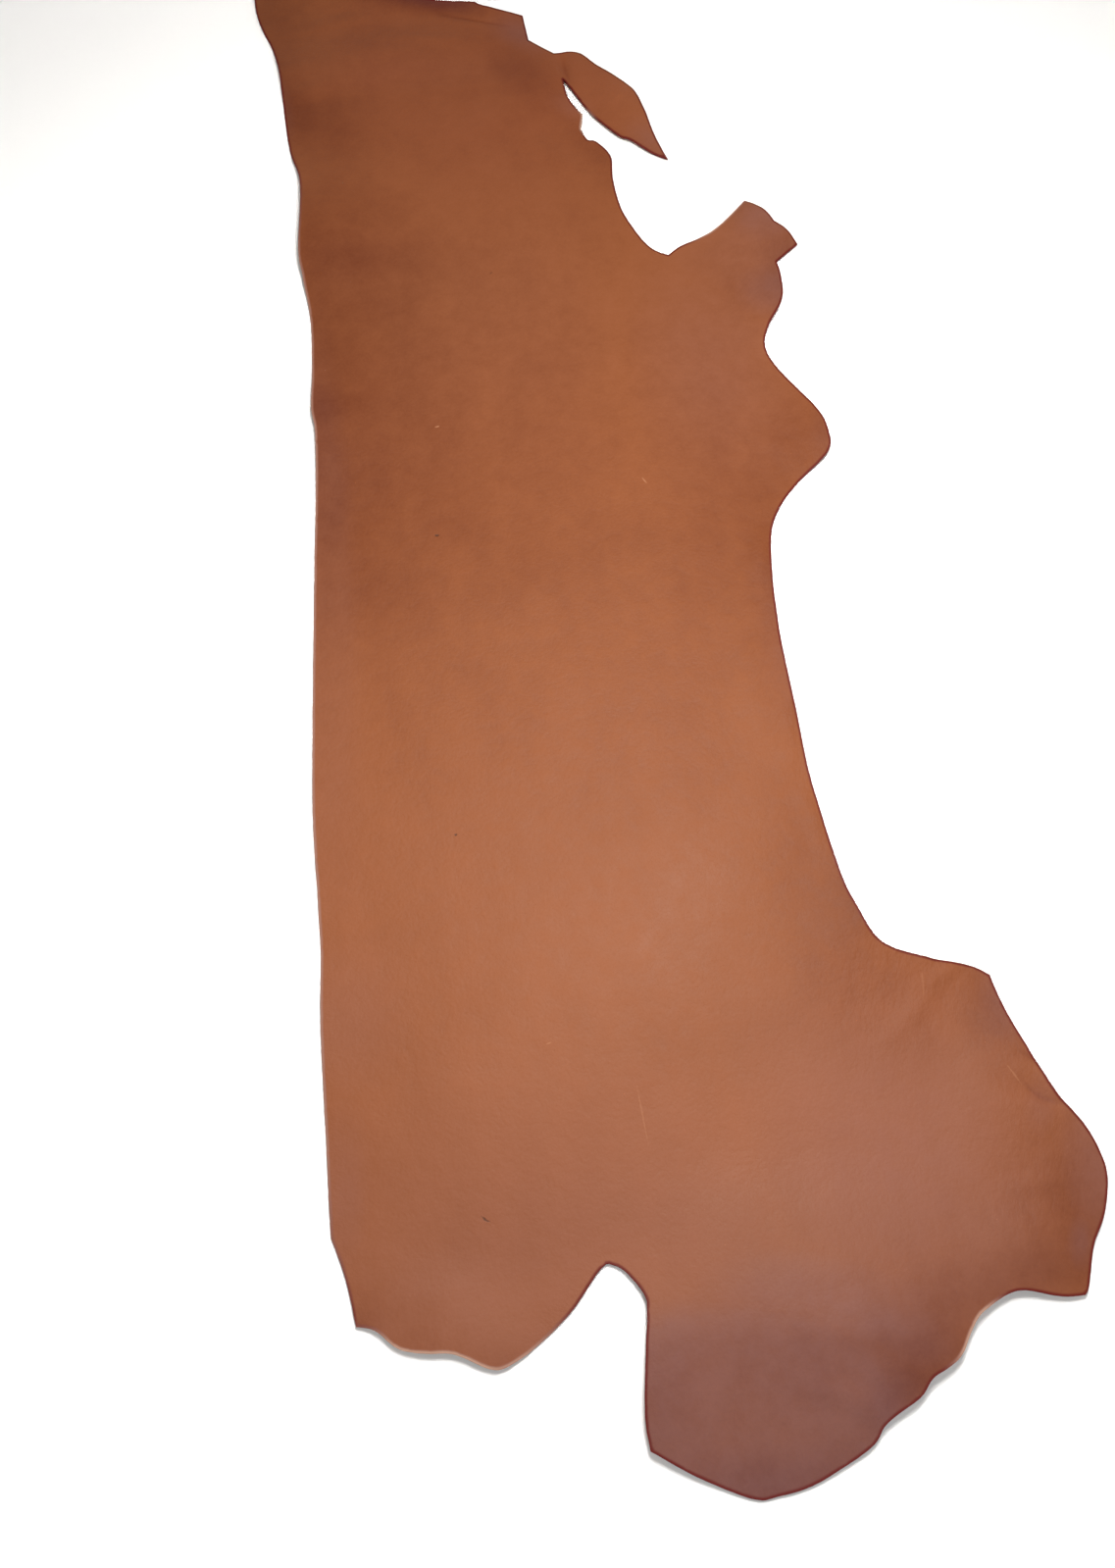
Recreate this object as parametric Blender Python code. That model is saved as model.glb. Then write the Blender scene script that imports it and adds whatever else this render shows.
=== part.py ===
"""One side of vegetable-tanned leather, laid out grain side up.

The side is a single cut piece: a cattle hide parted along its backbone. Most of it lies flat on
its flesh side. Its free edges, loose flanks and thigh flap stand up in low, uneven folds.

The hide is set out from its backbone line. "Across" runs from that line towards the belly and
"along" runs from the butt towards the neck. The tables give both in millimetres.
"""

import math
from collections import namedtuple

import bpy
from mathutils import Vector
from mathutils.geometry import delaunay_2d_cdt

# Driving sizes, in metres
MM = 0.001
THICKNESS = 0.003
RIM_STEP = 0.021
GRID_PITCH = 0.030
RIM_CLEARANCE = 0.6 * GRID_PITCH
MERGE_DISTANCE = 1e-6

LEATHER_COLOUR = (0.40, 0.157, 0.074, 1.0)
LEATHER_ROUGHNESS = 0.45

# The cut outline: one row for each point where the edge turns, round the hide from its tail
Mark = namedtuple("Mark", "across along turn")
ROUND = "round"
CORNER = "corner"

BACKBONE = (
    Mark(30, 235, CORNER),
    Mark(19, 292, ROUND),
    Mark(2, 342, CORNER),
    Mark(0, 450, ROUND),
    Mark(-3, 615, ROUND),
    Mark(0, 725, ROUND),
    Mark(-5, 905, ROUND),
    Mark(-2, 1050, ROUND),
    Mark(7, 1300, ROUND),
    Mark(18, 1560, ROUND),
    Mark(13, 1635, ROUND),
    Mark(16, 1730, ROUND),
    Mark(15, 1835, ROUND),
    Mark(6, 1915, ROUND),
    Mark(1, 1970, ROUND),
    Mark(7, 2070, ROUND),
    Mark(5, 2150, ROUND),
    Mark(-11, 2225, ROUND),
    Mark(-19, 2310, ROUND),
    Mark(-27, 2425, ROUND),
    Mark(-39, 2494, ROUND),
    Mark(-56, 2546, ROUND),
    Mark(-69, 2602, ROUND),
)
NECK_END = (
    Mark(-73, 2680, CORNER),
    Mark(20, 2668, ROUND),
    Mark(120, 2630, ROUND),
    Mark(205, 2612, ROUND),
    Mark(285, 2591, ROUND),
    Mark(346, 2582, ROUND),
    Mark(368, 2568, ROUND),
    Mark(442, 2536, CORNER),
    Mark(447, 2470, CORNER),
    Mark(466, 2450, ROUND),
    Mark(491, 2427, CORNER),
)
CHEEK = (
    Mark(517, 2430, ROUND),
    Mark(542, 2421, ROUND),
    Mark(568, 2387, ROUND),
    Mark(600, 2350, ROUND),
    Mark(621, 2323, ROUND),
    Mark(633, 2297, ROUND),
    Mark(642, 2255, ROUND),
    Mark(653, 2198, ROUND),
    Mark(671, 2138, CORNER),
    Mark(643, 2155, ROUND),
    Mark(607, 2190, ROUND),
    Mark(588, 2202, ROUND),
    Mark(548, 2256, ROUND),
    Mark(511, 2336, ROUND),
)
THROAT = (
    Mark(501, 2356, CORNER),
    Mark(505, 2315, ROUND),
    Mark(515, 2288, ROUND),
    Mark(529, 2264, CORNER),
    Mark(522, 2228, CORNER),
    Mark(531, 2200, ROUND),
    Mark(546, 2194, ROUND),
    Mark(568, 2155, ROUND),
    Mark(566, 2097, ROUND),
    Mark(571, 2030, ROUND),
    Mark(588, 1978, ROUND),
    Mark(612, 1932, ROUND),
    Mark(641, 1912, CORNER),
    Mark(664, 1930, ROUND),
    Mark(700, 1945, ROUND),
    Mark(744, 1970, ROUND),
    Mark(792, 2018, CORNER),
)
BRISKET = (
    Mark(819, 1990, ROUND),
    Mark(834, 1959, CORNER),
    Mark(856, 1941, ROUND),
    Mark(870, 1913, CORNER),
    Mark(827, 1877, CORNER),
    Mark(829, 1849, ROUND),
    Mark(821, 1790, ROUND),
    Mark(788, 1733, ROUND),
    Mark(777, 1692, ROUND),
    Mark(793, 1643, ROUND),
)
FORELEG = (
    Mark(838, 1556, ROUND),
    Mark(849, 1508, ROUND),
    Mark(842, 1468, ROUND),
    Mark(788, 1420, ROUND),
    Mark(751, 1377, ROUND),
    Mark(728, 1330, ROUND),
)
BELLY = (
    Mark(716, 1255, ROUND),
    Mark(709, 1140, ROUND),
    Mark(711, 1020, ROUND),
    Mark(714, 910, ROUND),
    Mark(730, 765, ROUND),
    Mark(742, 712, ROUND),
    Mark(768, 654, ROUND),
)
HIND_SHANK = (
    Mark(828, 625, ROUND),
    Mark(882, 608, ROUND),
    Mark(906, 593, CORNER),
    Mark(917, 536, ROUND),
    Mark(950, 436, ROUND),
    Mark(982, 382, ROUND),
    Mark(996, 330, ROUND),
    Mark(981, 278, ROUND),
    Mark(954, 236, ROUND),
    Mark(937, 192, ROUND),
    Mark(929, 182, CORNER),
    Mark(900, 183, ROUND),
    Mark(845, 195, ROUND),
    Mark(798, 177, ROUND),
    Mark(778, 158, ROUND),
    Mark(760, 132, ROUND),
)
THIGH_FLAP = (
    Mark(742, 120, ROUND),
    Mark(718, 109, ROUND),
    Mark(700, 90, ROUND),
    Mark(656, 67, ROUND),
    Mark(632, 42, ROUND),
    Mark(563, 11, ROUND),
    Mark(515, 2, ROUND),
    Mark(485, 3, ROUND),
    Mark(422, 33, ROUND),
    Mark(372, 65, CORNER),
    Mark(370, 98, ROUND),
    Mark(376, 148, ROUND),
    Mark(387, 215, ROUND),
    Mark(387, 235, ROUND),
)
TAIL = (
    Mark(370, 262, ROUND),
    Mark(352, 275, ROUND),
    Mark(337, 272, ROUND),
    Mark(295, 226, ROUND),
    Mark(250, 192, ROUND),
    Mark(213, 173, ROUND),
    Mark(190, 172, ROUND),
    Mark(147, 193, ROUND),
    Mark(112, 197, ROUND),
    Mark(80, 206, ROUND),
    Mark(53, 229, ROUND),
)
OUTLINE = (
    BACKBONE
    + NECK_END
    + CHEEK
    + THROAT
    + BRISKET
    + FORELEG
    + BELLY
    + HIND_SHANK
    + THIGH_FLAP
    + TAIL
)

# The folds: "heading" is the ridge's own direction in degrees from across, "reach" and "spread"
# are how far it runs each way along and beside that direction, and a trough has a negative rise
Fold = namedtuple("Fold", "across along heading reach spread rise")

FOLDS = {
    "backbone lift": Fold(0, 2035, 88, 215, 230, 24),
    "backbone ripple": Fold(12, 1600, 90, 200, 160, 10),
    "neck roll": Fold(140, 2450, 8, 330, 95, 10),
    "neck end curl": Fold(150, 2660, -12, 330, 110, 13),
    "neck corner curl": Fold(400, 2568, -25, 130, 55, 7),
    "throat swell": Fold(455, 2350, 65, 190, 110, 7),
    "cheek lobe": Fold(610, 2290, -62, 190, 95, 12),
    "cheek root crease": Fold(508, 2390, -85, 60, 24, -4),
    "shoulder swell": Fold(390, 2050, -35, 330, 240, 9),
    "brisket flap": Fold(825, 1975, 35, 150, 100, 15),
    "brisket pleat": Fold(800, 1770, 75, 110, 95, 8),
    "foreleg stub": Fold(850, 1510, 70, 120, 120, 10),
    "belly wave": Fold(712, 1080, 90, 230, 110, 7),
    "flank wave": Fold(760, 700, 70, 150, 110, 6),
    "shank swell": Fold(930, 420, 70, 220, 150, 12),
    "shank crease": Fold(915, 440, -38, 85, 26, -7),
    "shank corner": Fold(880, 250, 0, 95, 75, 9),
    "thigh swell": Fold(640, 180, -4, 400, 215, 26),
    "thigh flap edge": Fold(378, 120, 85, 150, 95, 11),
    "tail lift by the corner": Fold(65, 218, 75, 110, 50, 8),
    "tail lift in the middle": Fold(135, 195, 88, 130, 60, 14),
    "tail lift by the notch": Fold(205, 172, 95, 110, 50, 9),
}


def curve_point(before, start, end, after, share):
    """A point between start and end, on the smooth curve that also heeds its neighbours."""
    square = share * share
    cube = square * share
    return 0.5 * (
        2 * start
        + (end - before) * share
        + (2 * before - 5 * start + 4 * end - after) * square
        + (3 * start - before - 3 * end + after) * cube
    )


def neighbour(marks, index, step):
    """The point beside a mark that bends the curve there: a corner doesn't look past itself."""
    mark = marks[index]
    if mark.turn == ROUND:
        mark = marks[(index + step) % len(marks)]
    return Vector((mark.across, mark.along))


def rim_points(marks):
    """The cut edge as a closed ring of points, in millimetres, from one mark to the next."""
    ring = []
    for index, mark in enumerate(marks):
        following = (index + 1) % len(marks)
        start = Vector((mark.across, mark.along))
        end = Vector((marks[following].across, marks[following].along))
        before = neighbour(marks, index, -1)
        after = neighbour(marks, following, 1)
        steps = max(1, round((end - start).length * MM / RIM_STEP))
        for step in range(steps):
            ring.append(curve_point(before, start, end, after, step / steps))
    return ring


def swell(share):
    """A soft bump: 1 in its middle, and level where it runs out at a share of 1."""
    if abs(share) >= 1:
        return 0.0
    return 0.5 + 0.5 * math.cos(math.pi * share)


def lift(point):
    """How far the flesh side stands off the ground at a point, in millimetres."""
    height = 0.0
    for fold in FOLDS.values():
        away = point - Vector((fold.across, fold.along))
        turn = math.radians(fold.heading)
        lengthways = away.x * math.cos(turn) + away.y * math.sin(turn)
        sideways = away.y * math.cos(turn) - away.x * math.sin(turn)
        height += fold.rise * swell(lengthways / fold.reach) * swell(sideways / fold.spread)
    return max(0.0, height)


def is_inside(point, ring):
    """Whether a point lies within the cut edge: a ray to one side crosses it an odd number of times."""
    inside = False
    for start, end in zip(ring, ring[1:] + ring[:1]):
        if (start.y > point.y) == (end.y > point.y):
            continue
        crossing = start.x + (point.y - start.y) * (end.x - start.x) / (end.y - start.y)
        if point.x < crossing:
            inside = not inside
    return inside


def clear_of_rim(point, ring, clearance):
    """Whether a point keeps its distance from every point of the cut edge."""
    return all((point - other).length_squared > clearance * clearance for other in ring)


def field_points(ring):
    """Points spread evenly over the hide in a triangular grid, a little inside its edge."""
    pitch = GRID_PITCH / MM
    row_height = pitch * math.sqrt(3) / 2
    clearance = RIM_CLEARANCE / MM
    low_across = min(point.x for point in ring)
    high_across = max(point.x for point in ring)
    low_along = min(point.y for point in ring)
    high_along = max(point.y for point in ring)
    columns = int((high_across - low_across) / pitch) + 2
    rows = int((high_along - low_along) / row_height) + 1
    points = []
    for row in range(rows):
        shift = 0.5 * pitch * (row % 2)
        for column in range(columns):
            point = Vector((low_across + shift + column * pitch, low_along + row * row_height))
            if is_inside(point, ring) and clear_of_rim(point, ring, clearance):
                points.append(point)
    return points


def middle_of(ring):
    """The middle of the rectangle that the cut edge just fits."""
    across = [point.x for point in ring]
    along = [point.y for point in ring]
    return Vector((min(across) + max(across), min(along) + max(along))) / 2


def flesh_side():
    """The underside of the hide as a triangle mesh: the rim, the field between, and the folds."""
    ring = rim_points(OUTLINE)
    points = ring + field_points(ring)
    edges = [(index, (index + 1) % len(ring)) for index in range(len(ring))]
    inside_only = 1
    corners, _, triangles, *_ = delaunay_2d_cdt(points, edges, [], inside_only, MERGE_DISTANCE)
    middle = middle_of(ring)
    vertices = []
    for point in corners:
        place = (point - middle) * MM
        vertices.append((place.x, place.y, lift(point) * MM))
    mesh = bpy.data.meshes.new("leather_side")
    mesh.from_pydata(vertices, [], triangles)
    mesh.validate()
    return mesh


def leather_material():
    """Satin reddish-brown grain leather."""
    material = bpy.data.materials.new("leather")
    material.use_nodes = True
    shader = material.node_tree.nodes["Principled BSDF"]
    shader.inputs["Base Color"].default_value = LEATHER_COLOUR
    shader.inputs["Roughness"].default_value = LEATHER_ROUGHNESS
    shader.inputs["Metallic"].default_value = 0.0
    return material


def leather_side():
    """The hide: its flesh side thickened upwards into one closed sheet."""
    side = bpy.data.objects.new("leather_side", flesh_side())
    bpy.context.scene.collection.objects.link(side)
    side.data.materials.append(leather_material())
    side.data.shade_smooth()
    sheet = side.modifiers.new("substance", "SOLIDIFY")
    sheet.thickness = THICKNESS
    sheet.offset = 1.0
    return side


def main():
    for old in list(bpy.data.objects):
        bpy.data.objects.remove(old, do_unlink=True)
    leather_side()


main()
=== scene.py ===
"""One side of vegetable-tanned leather, laid out grain side up on a pale studio floor.

The hide is a single cut piece. It is set out from its backbone line: "across" runs from that line
towards the belly and "along" runs from the butt towards the neck, both in millimetres. Its flesh
side is drawn first, as a fine mesh on the hide's folds, and is then thickened upwards.
"""

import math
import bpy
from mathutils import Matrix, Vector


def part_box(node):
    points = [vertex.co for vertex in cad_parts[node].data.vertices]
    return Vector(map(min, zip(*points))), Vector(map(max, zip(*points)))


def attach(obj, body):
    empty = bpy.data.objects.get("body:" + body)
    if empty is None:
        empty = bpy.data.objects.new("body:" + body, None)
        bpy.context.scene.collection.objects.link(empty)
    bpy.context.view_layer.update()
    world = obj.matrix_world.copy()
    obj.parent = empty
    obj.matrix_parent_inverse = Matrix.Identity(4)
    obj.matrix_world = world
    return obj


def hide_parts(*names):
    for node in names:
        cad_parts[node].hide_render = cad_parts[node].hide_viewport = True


bl_info = {
    "name": "Leather Side",
    "version": (1, 0, 0),
    "blender": (4, 5, 0),
    "location": "3D View > Sidebar > Leather",
    "description": "A side of vegetable-tanned leather laid out on a pale floor",
    "category": "Add Mesh",
}

from collections import namedtuple

import bpy
import numpy as np
from bpy.props import FloatProperty, FloatVectorProperty, PointerProperty
from mathutils import Vector, kdtree, noise
from mathutils.geometry import delaunay_2d_cdt

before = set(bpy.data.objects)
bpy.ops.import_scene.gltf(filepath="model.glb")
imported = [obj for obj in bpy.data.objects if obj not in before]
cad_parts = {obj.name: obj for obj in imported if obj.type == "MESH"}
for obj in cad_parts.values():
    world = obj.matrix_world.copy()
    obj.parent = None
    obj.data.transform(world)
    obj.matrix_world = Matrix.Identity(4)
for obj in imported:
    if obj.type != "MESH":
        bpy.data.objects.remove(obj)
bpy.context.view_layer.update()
NODE = "leather_side"
NODE_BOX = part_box(NODE)

MM = 0.001

# The cut outline: one row for each point where the edge turns, round the hide from its tail. The
# edge runs smoothly through a mark that isn't a corner
ROUND = "round"
CORNER = "corner"
Mark = namedtuple("Mark", "across along turn", defaults=(ROUND,))

BACKBONE = (
    Mark(30, 235, CORNER),
    Mark(19, 292),
    Mark(2, 342, CORNER),
    Mark(0, 450),
    Mark(-3, 615),
    Mark(0, 725),
    Mark(-5, 905),
    Mark(-2, 1050),
    Mark(7, 1300),
    Mark(18, 1560),
    Mark(13, 1635),
    Mark(16, 1730),
    Mark(15, 1835),
    Mark(6, 1915),
    Mark(1, 1970),
    Mark(7, 2070),
    Mark(5, 2150),
    Mark(-11, 2225),
    Mark(-19, 2310),
    Mark(-27, 2425),
    Mark(-39, 2494),
    Mark(-56, 2546),
    Mark(-69, 2602),
)
NECK_END = (
    Mark(-73, 2680, CORNER),
    Mark(20, 2668),
    Mark(120, 2630),
    Mark(205, 2612),
    Mark(285, 2591),
    Mark(346, 2582),
    Mark(368, 2568),
    Mark(442, 2536, CORNER),
    Mark(447, 2470, CORNER),
    Mark(466, 2450),
    Mark(491, 2427, CORNER),
)
CHEEK = (
    Mark(517, 2430),
    Mark(542, 2421),
    Mark(568, 2387),
    Mark(600, 2350),
    Mark(621, 2323),
    Mark(633, 2297),
    Mark(642, 2255),
    Mark(653, 2198),
    Mark(671, 2138, CORNER),
    Mark(643, 2155),
    Mark(607, 2190),
    Mark(588, 2202),
    Mark(548, 2256),
    Mark(511, 2336),
)
THROAT = (
    Mark(501, 2356, CORNER),
    Mark(505, 2315),
    Mark(515, 2288),
    Mark(529, 2264, CORNER),
    Mark(522, 2228, CORNER),
    Mark(531, 2200),
    Mark(546, 2194),
    Mark(568, 2155),
    Mark(566, 2097),
    Mark(571, 2030),
    Mark(588, 1978),
    Mark(612, 1932),
    Mark(641, 1912, CORNER),
    Mark(664, 1930),
    Mark(700, 1945),
    Mark(744, 1970),
    Mark(792, 2018, CORNER),
)
BRISKET = (
    Mark(819, 1990),
    Mark(834, 1959, CORNER),
    Mark(856, 1941),
    Mark(870, 1913, CORNER),
    Mark(827, 1877, CORNER),
    Mark(829, 1849),
    Mark(821, 1790),
    Mark(788, 1733),
    Mark(777, 1692),
    Mark(793, 1643),
)
FORELEG = (
    Mark(838, 1556),
    Mark(849, 1508),
    Mark(842, 1468),
    Mark(788, 1420),
    Mark(751, 1377),
    Mark(728, 1330),
)
BELLY = (
    Mark(716, 1255),
    Mark(709, 1140),
    Mark(711, 1020),
    Mark(714, 910),
    Mark(730, 765),
    Mark(742, 712),
    Mark(768, 654),
)
HIND_SHANK = (
    Mark(828, 625),
    Mark(882, 608),
    Mark(906, 593, CORNER),
    Mark(917, 536),
    Mark(950, 436),
    Mark(982, 382),
    Mark(996, 330),
    Mark(981, 278),
    Mark(954, 236),
    Mark(937, 192),
    Mark(929, 182, CORNER),
    Mark(900, 183),
    Mark(845, 195),
    Mark(798, 177),
    Mark(778, 158),
    Mark(760, 132),
)
THIGH_FLAP = (
    Mark(742, 120),
    Mark(718, 109),
    Mark(700, 90),
    Mark(656, 67),
    Mark(632, 42),
    Mark(563, 11),
    Mark(515, 2),
    Mark(485, 3),
    Mark(422, 33),
    Mark(372, 65, CORNER),
    Mark(370, 98),
    Mark(376, 148),
    Mark(387, 215),
    Mark(387, 235),
)
TAIL = (
    Mark(370, 262),
    Mark(352, 275),
    Mark(337, 272),
    Mark(295, 226),
    Mark(250, 192),
    Mark(213, 173),
    Mark(190, 172),
    Mark(147, 193),
    Mark(112, 197),
    Mark(80, 206),
    Mark(53, 229),
)
OUTLINE = BACKBONE + NECK_END + CHEEK + THROAT + BRISKET + FORELEG + BELLY
OUTLINE += HIND_SHANK + THIGH_FLAP + TAIL

# A soft oval on the hide: "heading" is its long direction in degrees from across, "reach" and
# "spread" are how far it runs each way along and beside that, "rise" is what it adds in its
# middle, and a "crown" over 1 gives it a level middle and steeper sides
Fold = namedtuple("Fold", "across along heading reach spread rise crown", defaults=(1.0,))

# The hide's folds. A rise is in millimetres, and a trough has a negative one
FOLDS = {
    "backbone lift": Fold(0, 2035, 88, 215, 230, 24),
    "backbone ripple": Fold(12, 1600, 90, 200, 160, 10),
    "neck roll": Fold(140, 2450, 8, 330, 95, 10),
    "neck end curl": Fold(150, 2660, -12, 330, 110, 13),
    "neck corner curl": Fold(400, 2568, -25, 130, 55, 7),
    "throat swell": Fold(455, 2350, 65, 190, 110, 7),
    "cheek lobe": Fold(610, 2290, -62, 190, 95, 12),
    "cheek root crease": Fold(508, 2390, -85, 60, 24, -4),
    "shoulder swell": Fold(390, 2050, -35, 330, 240, 9),
    "brisket flap": Fold(825, 1975, 35, 150, 100, 15),
    "brisket pleat": Fold(800, 1770, 75, 110, 95, 8),
    "foreleg stub": Fold(850, 1510, 70, 120, 120, 10),
    "belly wave": Fold(712, 1080, 90, 230, 110, 7),
    "flank wave": Fold(760, 700, 70, 150, 110, 6),
    "shank swell": Fold(930, 420, 70, 220, 150, 12),
    "shank crease": Fold(928, 430, -30, 72, 25, -5),
    "shank corner": Fold(880, 250, 0, 95, 75, 9),
    "thigh swell": Fold(640, 180, -4, 400, 215, 26),
    "thigh flap edge": Fold(378, 120, 85, 150, 95, 11),
    "tail lift by the corner": Fold(65, 218, 75, 110, 62, 5.5),
    "tail lift in the middle": Fold(135, 195, 88, 130, 78, 9.5),
    "tail lift by the notch": Fold(205, 172, 95, 110, 62, 6),
}

# Smaller swells and dimples of the laid-out hide, too slight for its main folds
RIPPLES = {
    "neck ripple by the backbone": Fold(40, 2380, 20, 90, 30, 2.2),
    "neck ripple in the middle": Fold(250, 2490, -6, 140, 26, 1.8),
    "neck ripple by the crest": Fold(90, 2560, 12, 110, 24, 2.0),
    "shoulder ripple": Fold(470, 2160, -50, 130, 34, 2.0),
    "brisket dimple": Fold(803, 1856, 70, 80, 40, -1.2),
    "brisket ripple": Fold(742, 1905, -28, 90, 30, 1.4),
    "foreleg ripple": Fold(770, 1480, -48, 90, 30, 1.4),
    "belly ripple forward": Fold(700, 1290, 78, 70, 24, 2.6),
    "belly ripple": Fold(690, 980, 84, 90, 26, 2.4),
    "belly ripple back": Fold(704, 850, 100, 80, 22, 2.2),
    "flank ripple": Fold(800, 560, 42, 110, 24, 2.6),
    "flank pleat": Fold(840, 600, 20, 80, 16, 1.8),
    "shank dimple by the crease": Fold(876, 515, -40, 50, 24, -1.6),
    "shank dimple by the edge": Fold(968, 384, 75, 40, 20, -1.6),
    "shank dimple in the middle": Fold(919, 364, 30, 50, 26, -1.4),
    "shank ripple": Fold(900, 318, 8, 90, 22, 2.0),
    "thigh ripple": Fold(600, 246, -3, 170, 40, 1.2),
    "thigh ripple by the edge": Fold(470, 90, 66, 80, 22, -2.4),
    "thigh ripple low down": Fold(620, 96, -26, 110, 24, 2.2),
    "tail ripple": Fold(110, 262, 4, 110, 30, 1.4),
}

# A crease: a soft groove along a bent line of places, with a low shoulder at each side
Groove = namedtuple("Groove", "line width depth")

GROOVES = {
    "shank crease": Groove(((911, 450), (921, 436), (931, 425), (944, 418), (961, 414)), 7, 1.6),
    "lesser shank crease": Groove(((918, 488), (936, 470), (954, 452)), 6, 0.6),
    "neck crease": Groove(((278, 2560), (330, 2541), (385, 2523), (419, 2512)), 6, 1.5),
    "cheek root crease": Groove(((506, 2424), (509, 2381), (513, 2342)), 9, 2.4),
}

# Where the grain is darker (a negative rise) or lighter, as a share of the way to that colour.
# Partly the grain's uneven dye and partly painted light: painted shade where the hide lay away
# from the lamp, and painted highlight where the sheen fell on the lower back and the butt
TONES_AND_PAINTED_LIGHT = {
    # Painted shade over the neck and beside the backbone, where less light fell
    "neck end by the backbone": Fold(-40, 2590, 95, 170, 120, -0.40),
    "neck edge by the backbone": Fold(-40, 2370, 99, 180, 90, -0.58),
    "neck beside the backbone": Fold(45, 2290, 78, 150, 130, -0.50),
    "neck": Fold(200, 2440, 0, 330, 90, -0.09),
    "neck corner": Fold(385, 2500, 0, 120, 90, -0.12),
    # Painted shade along the neck end, where it curls down away from the light
    "neck end": Fold(260, 2608, -13, 190, 64, -1.25),
    "dark patch in the neck": Fold(160, 2240, 0, 120, 70, -0.11),
    "pale patch in the neck": Fold(350, 2290, 0, 70, 60, 0.10),
    "dark band by the throat": Fold(432, 2375, -60, 160, 80, -0.42),
    "light patch by the throat": Fold(509, 2279, -43, 50, 30, 0.14),
    "dark band below the nick": Fold(545, 2190, -60, 90, 50, -0.20),
    "throat": Fold(540, 2150, -80, 120, 60, -0.12),
    "cheek": Fold(610, 2300, -60, 200, 110, 0.36),
    # Painted shade down the backbone edge, darker towards the neck
    "backbone, forward": Fold(40, 1950, 88, 340, 200, -0.46),
    "beside the backbone, forward": Fold(180, 1760, 88, 420, 100, -0.24),
    "backbone, middle": Fold(15, 1620, 88, 330, 190, -0.54),
    "backbone, behind the middle": Fold(60, 1340, 90, 290, 190, -0.36),
    "back": Fold(310, 1470, 90, 620, 330, -0.21),
    "dark band off the shoulder": Fold(100, 1950, 0, 220, 70, -0.20),
    "dark patch behind the shoulder": Fold(280, 1930, 90, 130, 70, -0.09),
    "dark patch in the forward back": Fold(275, 1720, 0, 90, 60, -0.12),
    "dark patch by the backbone": Fold(30, 1630, 0, 120, 60, -0.22),
    "dark strip by the backbone": Fold(70, 1480, 90, 160, 120, -0.11),
    "dark patch in the back": Fold(190, 1480, 80, 170, 110, -0.12),
    "dark patch by the middle": Fold(240, 1395, 0, 120, 70, -0.12),
    "band across the middle": Fold(330, 1300, 0, 520, 130, -0.14),
    "dark patch in the middle": Fold(500, 1330, 0, 80, 50, -0.12),
    "brisket root": Fold(600, 1870, 20, 200, 120, 0.14),
    "brisket by the throat": Fold(690, 1950, 30, 90, 50, 0.22),
    "brisket edge": Fold(845, 1850, 85, 190, 70, -0.46),
    "shoulder": Fold(650, 1510, 90, 230, 150, -0.19),
    "foreleg": Fold(825, 1505, 70, 180, 120, -0.40),
    "belly, forward": Fold(640, 1260, 85, 330, 170, -0.26),
    "belly edge": Fold(728, 1190, 90, 330, 72, -0.36),
    "belly side": Fold(520, 960, 90, 220, 190, -0.10),
    "belly, behind": Fold(690, 740, 95, 220, 110, -0.22),
    "flank corner": Fold(772, 745, 78, 130, 76, -0.54),
    # Painted highlight: the sheen across the lower back, palest where it is brightest
    "painted sheen across the lower back": Fold(450, 760, 50, 260, 170, 0.14),
    "painted highlight on the lower back": Fold(550, 625, 10, 170, 110, 0.17),
    "pale place by the backbone": Fold(170, 770, 60, 110, 80, 0.12),
    "pale place in the lower back": Fold(190, 520, 90, 130, 70, 0.10),
    "dark place in the lower back": Fold(450, 850, 30, 110, 70, -0.10),
    "flank root": Fold(760, 600, 0, 80, 60, -0.14),
    # Lighter partly as painted highlight, where the most light fell
    "lower back": Fold(280, 600, 90, 380, 260, 0.30),
    "rump": Fold(330, 460, 0, 200, 150, 0.06),
    "butt": Fold(570, 420, 10, 260, 150, 0.36),
    "backbone, lower": Fold(40, 720, 90, 480, 110, 0.20),
    "tail corner": Fold(60, 330, 0, 120, 90, 0.18),
    "tail": Fold(230, 235, -6, 190, 80, 0.30),
    "by the notch": Fold(380, 262, 0, 180, 80, 0.34),
    "flank edge": Fold(915, 550, 70, 130, 84, -0.46),
    "inner side of the shank": Fold(740, 385, 0, 170, 140, 0.32),
    "shank": Fold(985, 280, 70, 160, 180, -0.40),
    "shank by the thigh": Fold(845, 285, 0, 80, 60, -0.12),
    # Painted shade at the shank corner, which curls down
    "shank corner": Fold(860, 205, 2, 190, 70, -0.34),
    "notch corner": Fold(735, 188, 20, 120, 62, -0.30),
    # Painted shade over the thigh flap, which slopes away from the light, darkest at its foot and
    # beside the cut
    "thigh flap": Fold(560, 58, -6, 440, 164, -0.38, 4.0),
    "thigh flap's left side": Fold(400, 110, 80, 90, 60, -0.10),
    "thigh flap's foot": Fold(515, 15, -4, 220, 60, -0.46),
    "thigh flap beside the cut": Fold(682, 98, 36, 120, 52, -0.40),
    "tail's end corner": Fold(38, 232, 0, 60, 50, -0.16),
}
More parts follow.
